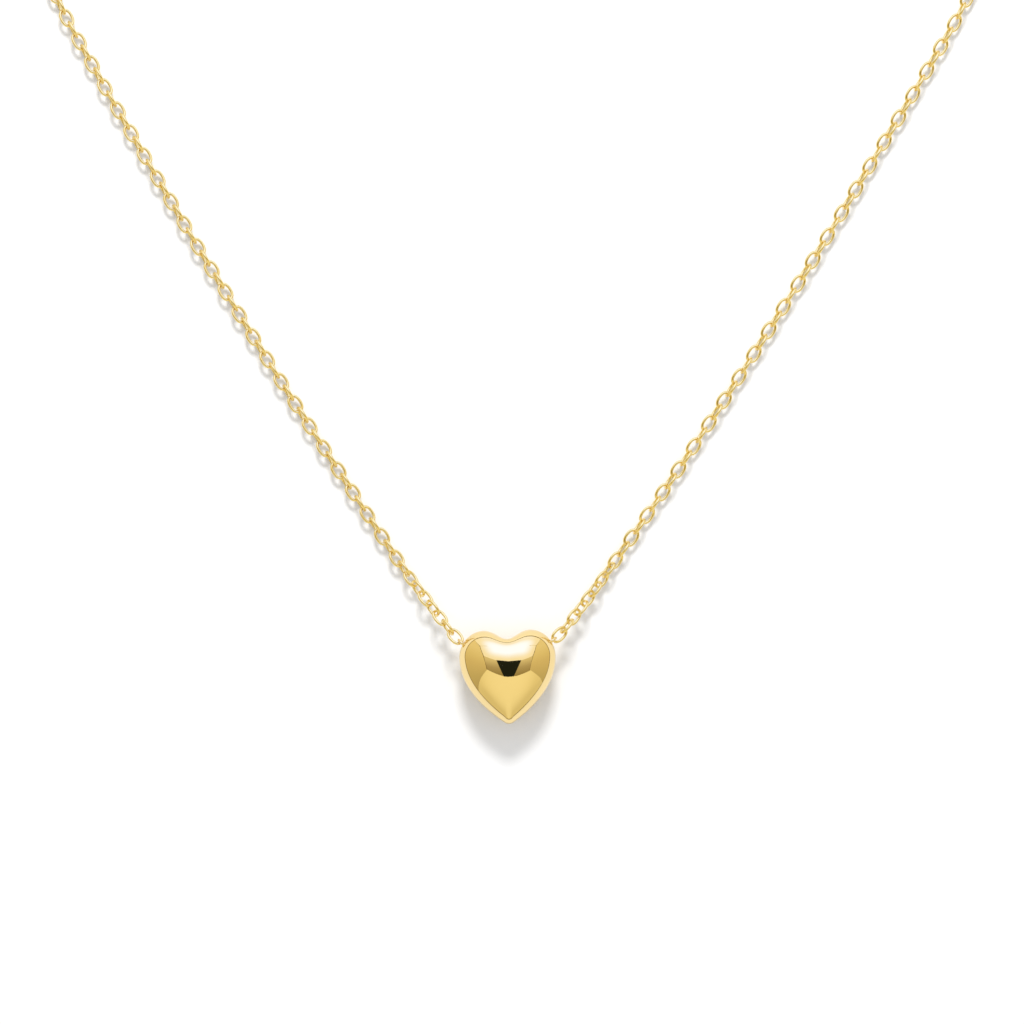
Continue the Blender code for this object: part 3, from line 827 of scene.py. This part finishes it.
def along_stops(stops, place):
    """The colour at a place among (place, colour) stops."""
    if place <= stops[0][0]:
        return stops[0][1]
    for (start, first), (end, last) in zip(stops, stops[1:], strict=False):
        if place <= end:
            return mix(first, last, (place - start) / (end - start))
    return stops[-1][1]


def fade(value, span):
    """0 up to the span's start, 1 from its end on, and smooth between."""
    low, high = span
    t = min(1, max(0, (value - low) / (high - low)))
    return t * t * (3 - 2 * t)


def strip_glow(x, y):
    """Brighter towards the back, and more slowly at the sides."""
    middle = on_line(STRIP_BACK, 0.5).y
    depth = middle - STRIP_START + STRIP_WIDENING * min(1, x * x)
    return along_stops(STRIP_STOPS, (y - STRIP_START) / depth)


def softbox_glow(x, y):
    """Brightest in the middle of its front half, and fading to its edges and its far end."""
    side = abs(x - TENT_MIDDLE) / (SOFTBOX_HALF_WIDTH + SOFTBOX_WIDENING * y)
    front = fade(y - SOFTBOX_FRONT_CURVE * abs(x), SOFTBOX_FRONT_FADE)
    bright = (1 - fade(side, SOFTBOX_SIDE_FADE)) * front
    bright *= 1 - SOFTBOX_FAR_LOSS * fade(y, SOFTBOX_FAR_FADE)
    return mix(SOFTBOX_EDGE, SOFTBOX_CORE, bright)


def wall_glow(x, y):
    """By the compass direction, in degrees towards the back."""
    return along_stops(WALL_STOPS, math.degrees(math.atan2(y, abs(x))))


def front_glow(x, y):
    """Dimmer to the sides and further down, and more golden to the sides."""
    side = fade(abs(x), FRONT_SIDE_FADE)
    dim = FRONT_SIDE_LOSS * side + FRONT_DEPTH_LOSS * fade(-y, FRONT_DEPTH_FADE)
    tints = zip(FRONT_COLOUR, FRONT_SIDE_TINT, strict=True)
    return tuple(c * (1 - dim) * (1 - tint * side) for c, tint in tints)


def build_tent():
    """The white tent that the polished gold mirrors, with the dark opening for the camera."""
    glow = glowing("tent")
    left, right = (
        [(TENT_MIDDLE + side * x, y) for x, y in SIDE_SEAM] for side in (-1, 1)
    )
    card("tent_strip", [STRIP_FRONT, STRIP_BACK], strip_glow, glow)
    levels = list(zip(left, right, strict=True))[SOFTBOX_FIRST_LEVEL:]
    card("tent_softbox", [STRIP_BACK, *levels], softbox_glow, glow)
    for side, seam, ends in ((-1, left, LEFT_WALL_END), (1, right, RIGHT_WALL_END)):
        near = [(x + side * SEAM, y) for x, y in seam]
        far = [(side * x * TENT_HORIZON, y * TENT_HORIZON) for x, y in ends]
        card("tent_wall", [near, far], wall_glow, glow, WALL_DISTANCE)
    front_end = [(x * TENT_HORIZON, -TENT_HORIZON) for x in FRONT_END]
    card("tent_front", [FRONT_ARC, front_end], front_glow, glow)
    for side in (-1, 1):
        near = [(TENT_MIDDLE + side * x, y) for x, y in CORNER_LINE]
        far = [(x, y + SEAM) for x, y in near]
        card("tent_corner", [near, far], lambda x, y: CORNER_COLOUR, glow, CORNER_DISTANCE)
    card("camera_opening", [OPENING_FRONT, OPENING_BACK], lambda x, y: OPENING_COLOUR, glow,
         OPENING_DISTANCE)
    turns = [math.tau * n / CARD_STEPS for n in range(CARD_STEPS + 1)]
    rounds = [[(lean * math.cos(t), lean * math.sin(t)) for t in turns] for lean in BACKING_SPAN]
    card("tent_backing", rounds, lambda x, y: BACKING_COLOUR, glow, BACKING_DISTANCE)


def build_studio():
    """The table, the even light, the key light and the tent."""
    ways = ((-1, -1), (1, -1), (1, 1), (-1, 1))
    corners = [(x * TABLE_HALF_SIZE, y * TABLE_HALF_SIZE, 0) for x, y in ways]
    table = new_object("table", mesh_from("table", corners, [(0, 1, 2, 3)]))
    table.data.materials.append(matt("table_white", TABLE_WHITE, TABLE_ROUGHNESS))

    world = bpy.data.worlds.new("studio")
    bpy.context.scene.world = world
    world.use_nodes = True
    background = world.node_tree.nodes["Background"]
    background.inputs["Color"].default_value = (1.0, 1.0, 1.0, 1)
    background.inputs["Strength"].default_value = AMBIENT_STRENGTH

    key = bpy.data.lights.new("key", "AREA")
    key.shape = "RECTANGLE"
    key.size, key.size_y = KEY_SIZE
    key.energy = KEY_POWER
    lamp = new_object("key", key)
    lamp.location = KEY_PLACE
    lamp.rotation_euler = (lamp.location - Vector(KEY_AIM)).to_track_quat("Z", "Y").to_euler()
    lamp.visible_glossy = False
    build_tent()


def build_camera():
    camera = bpy.data.cameras.new("camera")
    camera.lens = CAMERA_LENS
    camera.sensor_width = CAMERA_SENSOR
    camera.clip_start, camera.clip_end = CAMERA_CLIP
    obj = new_object("camera", camera)
    obj.location = (*VIEW_CENTRE, CAMERA_LENS / CAMERA_SENSOR * VIEW_WIDTH)
    bpy.context.scene.camera = obj


def main():
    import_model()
    scene = bpy.context.scene
    scene.view_settings.view_transform = "Standard"
    build_camera()
    build_studio()
    heart_gold = polished_metal("heart_gold", *HEART_GOLD)
    chain_gold = polished_metal("chain_gold", *CHAIN_GOLD)
    halves = (
        Half("left", LEFT_ROUTE, LEFT_PITCH, LEFT_SLACK, LEFT_JOINTS, LEFT_LINKS),
        Half("right", RIGHT_ROUTE, RIGHT_PITCH, RIGHT_SLACK, RIGHT_JOINTS, RIGHT_LINKS),
    )
    for half in halves:
        half.build(chain_gold)
    build_heart(heart_gold, halves)
    clasp_gold = polished_metal("clasp_gold", *CLASP_GOLD)
    spring_steel = polished_metal("spring_steel", *SPRING_STEEL)
    build_clasp(*halves, clasp_gold, spring_steel)


main()
